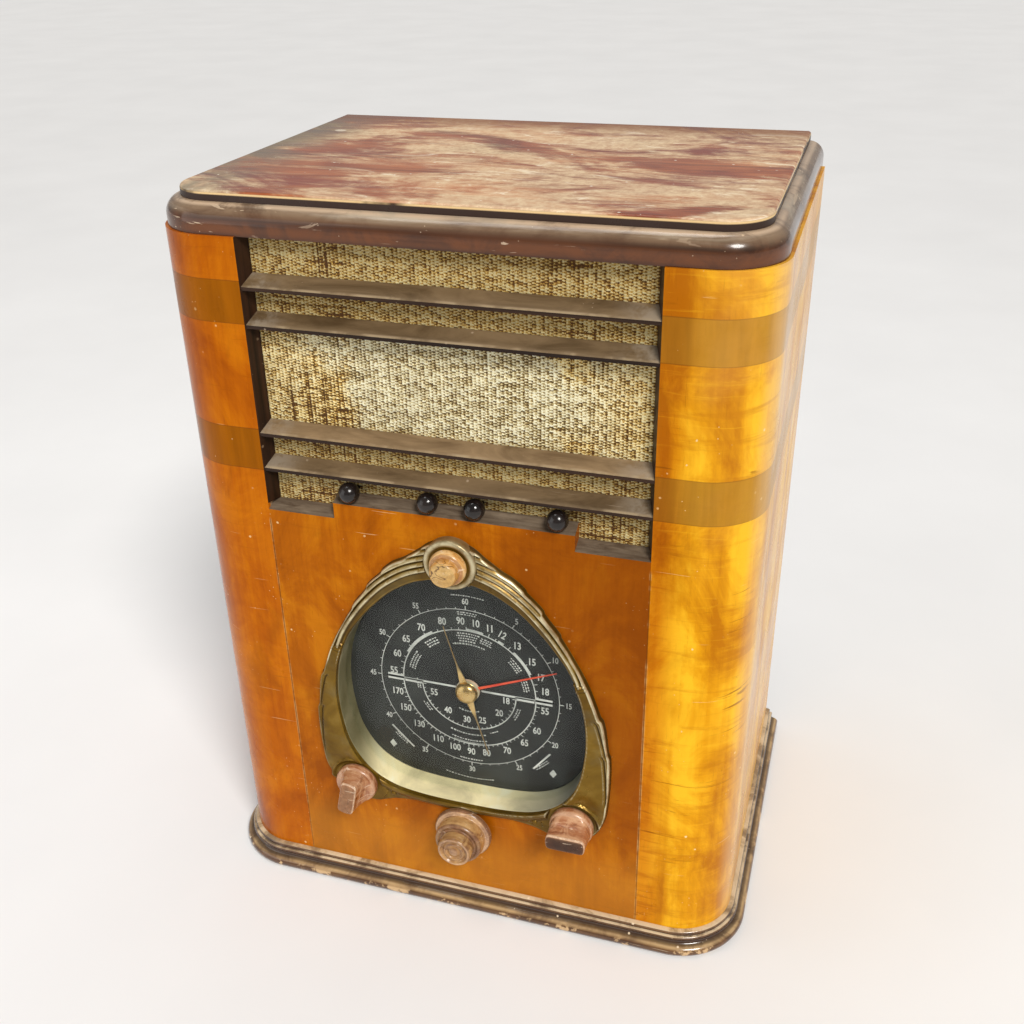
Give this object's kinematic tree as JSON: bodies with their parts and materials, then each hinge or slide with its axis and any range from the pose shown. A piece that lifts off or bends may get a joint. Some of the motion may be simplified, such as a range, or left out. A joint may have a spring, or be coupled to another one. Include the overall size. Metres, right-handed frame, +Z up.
{
  "type": "table radio",
  "caption": "Upright wooden table radio with rounded corners, louvred cloth grille, glazed dial in a bronze frame, turned knobs and tone levers.",
  "frame": {"origin": "centre of the bounding box of the whole radio at the floor", "axes": "+X to the right seen from the front, +Y to the back, +Z up"},
  "size_m": [0.452, 0.336, 0.584],
  "materials": {
    "walnut_veneer": "glossy aged lacquer over figured walnut veneer",
    "ebonised_wood": "dark lacquer, worn along the edges",
    "top_wood": "worn dark red-brown lacquer",
    "plain_wood": "unfinished",
    "grille_cloth": "coarse woven cream, gold and brown",
    "bronze": "aged bronze with bright ridges",
    "brass": "polished gold",
    "dial_glass": "clear flat glass",
    "bulb_glass": "clear blown glass with a silver getter patch",
    "dial_black": "charcoal with white printed scales",
    "black_paint": "black enamel",
    "red_paint": "red enamel",
    "plated_steel": "dull cadmium plate",
    "lamp": "small lamp in a brass shell",
    "aluminium": "spun",
    "knob_walnut": "turned walnut, glossy and worn",
    "black_bakelite": "black",
    "rubber": "matte",
    "cord": "waxed braid",
    "cone_paper": "pressed felted paper"
  },
  "bodies": {
    "root": {"left_side_shell": "walnut_veneer", "right_side_shell": "walnut_veneer", "front_panel": "walnut_veneer", "grille_jambs": "ebonised_wood", "louvre_bar_1": "ebonised_wood", "louvre_bar_2": "ebonised_wood", "louvre_bar_3": "ebonised_wood", "louvre_bar_4": "ebonised_wood", "top_moulding": "ebonised_wood", "base_moulding": "ebonised_wood", "top_board": "top_wood", "bottom_board": "plain_wood", "cabinet_framing": "plain_wood", "speaker_baffle": "plain_wood", "chassis_runners": "plain_wood", "grille_cloth": "grille_cloth", "dial_escutcheon": "bronze", "escutcheon_pins": "bronze", "dial_glass": "dial_glass", "tube_bulbs": "bulb_glass", "dial_plate": "dial_black", "glass_frame": "black_paint", "power_transformer": "black_paint", "output_transformer": "black_paint", "speaker_magnet": "black_paint", "lamp_housing": "plated_steel", "volume_control": "plated_steel", "band_switch": "plated_steel", "sensitivity_control": "plated_steel", "tone_switch_bracket": "plated_steel", "chassis_pan": "plated_steel", "chassis_bolts": "plated_steel", "condenser_frame": "plated_steel", "speaker_basket": "plated_steel", "speaker_bolts": "plated_steel", "dial_lamps": "lamp", "if_cans": "aluminium", "filter_capacitors": "aluminium", "tube_bases": "black_bakelite", "tube_sockets": "black_bakelite", "chassis_cushions": "rubber", "cord_grommet": "rubber", "drive_cord": "cord"},
    "tuning": {"tuning_knob": "knob_walnut", "tuning_shaft": "plated_steel"},
    "pointer_shaft": {"main_pointer": "brass", "condenser_rotor": "aluminium", "drive_drum": "plated_steel"},
    "red_hand": {"red_pointer": "red_paint"},
    "volume": {"volume_knob": "knob_walnut", "volume_shaft": "plated_steel"},
    "band": {"band_knob": "knob_walnut", "band_shaft": "plated_steel"},
    "sensitivity": {"sensitivity_knob": "knob_walnut", "sensitivity_shaft": "plated_steel"},
    "lever_1": {"tone_lever_1": "black_bakelite"},
    "lever_2": {"tone_lever_2": "black_bakelite"},
    "lever_3": {"tone_lever_3": "black_bakelite"},
    "lever_4": {"tone_lever_4": "black_bakelite"},
    "cone": {"speaker_cone": "cone_paper"}
  },
  "joints": [
    {"name": "tuning_turn", "type": "hinge", "parent": "root", "child": "tuning", "pos_m": [0, -0.12, 0.0805], "axis": [0, 1, 0], "range_deg": [-444, 636]},
    {"name": "pointer_turn", "type": "hinge", "parent": "root", "child": "pointer_shaft", "pos_m": [0, -0.12, 0.2053], "axis": [0, 1, 0], "range_deg": [-74.5, 106.5]},
    {"name": "red_hand_turn", "type": "hinge", "parent": "root", "child": "red_hand", "pos_m": [0, -0.12, 0.2053], "axis": [0, 1, 0], "range_deg": [-890, 1275]},
    {"name": "volume_turn", "type": "hinge", "parent": "root", "child": "volume", "pos_m": [-0.091, -0.12, 0.1115], "axis": [0, 1, 0], "range_deg": [-160, 140]},
    {"name": "band_turn", "type": "hinge", "parent": "root", "child": "band", "pos_m": [0.091, -0.12, 0.1115], "axis": [0, 1, 0], "range_deg": [-30, 30]},
    {"name": "sensitivity_turn", "type": "hinge", "parent": "root", "child": "sensitivity", "pos_m": [0, -0.12, 0.334], "axis": [0, 1, 0], "range_deg": [-150, 150]},
    {"name": "lever_1_throw", "type": "hinge", "parent": "root", "child": "lever_1", "pos_m": [-0.071, -0.111, 0.3774], "axis": [0, 0, 1], "range_deg": [0, 28]},
    {"name": "lever_2_throw", "type": "hinge", "parent": "root", "child": "lever_2", "pos_m": [-0.0237, -0.111, 0.3774], "axis": [0, 0, 1], "range_deg": [-28, 0]},
    {"name": "lever_3_throw", "type": "hinge", "parent": "root", "child": "lever_3", "pos_m": [0.0237, -0.111, 0.3774], "axis": [0, 0, 1], "range_deg": [0, 28]},
    {"name": "lever_4_throw", "type": "hinge", "parent": "root", "child": "lever_4", "pos_m": [0.071, -0.111, 0.3774], "axis": [0, 0, 1], "range_deg": [-28, 0]},
    {"name": "cone_travel", "type": "slide", "parent": "root", "child": "cone", "axis": [0, 1, 0], "range_m": [-0.0015, 0.0015], "stiffness_N_per_m": 2500}
  ],
  "couplings": [
    {"joint": "pointer_turn", "follows": "tuning_turn", "ratio": 0.16667},
    {"joint": "red_hand_turn", "follows": "tuning_turn", "ratio": 2}
  ]
}
